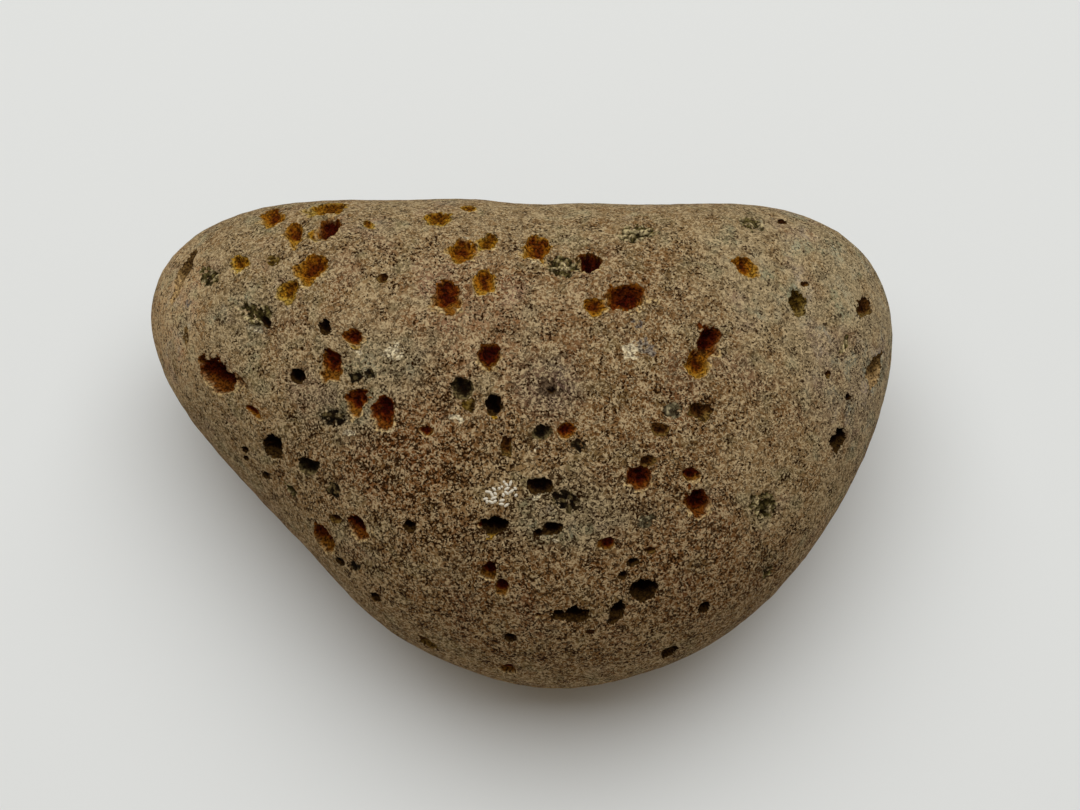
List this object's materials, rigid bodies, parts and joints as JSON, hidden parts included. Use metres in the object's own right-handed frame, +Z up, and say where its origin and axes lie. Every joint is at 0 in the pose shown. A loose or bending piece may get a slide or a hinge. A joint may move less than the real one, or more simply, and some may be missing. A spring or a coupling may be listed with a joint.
{
  "type": "river pebble",
  "caption": "Palm-sized river pebble of worn vesicular lava, rounded, broader at one end, lying on a flat worn side.",
  "frame": {"origin": "bottom centre of the pebble's box, on the surface that it rests on", "axes": "+X along the length towards the blunt right end as seen in the picture, +Y away from the viewer, +Z up"},
  "size_m": [0.075, 0.0488, 0.034],
  "materials": {
    "lava": "matte"
  },
  "bodies": {
    "root": {"pebble": "lava"}
  },
  "joints": []
}
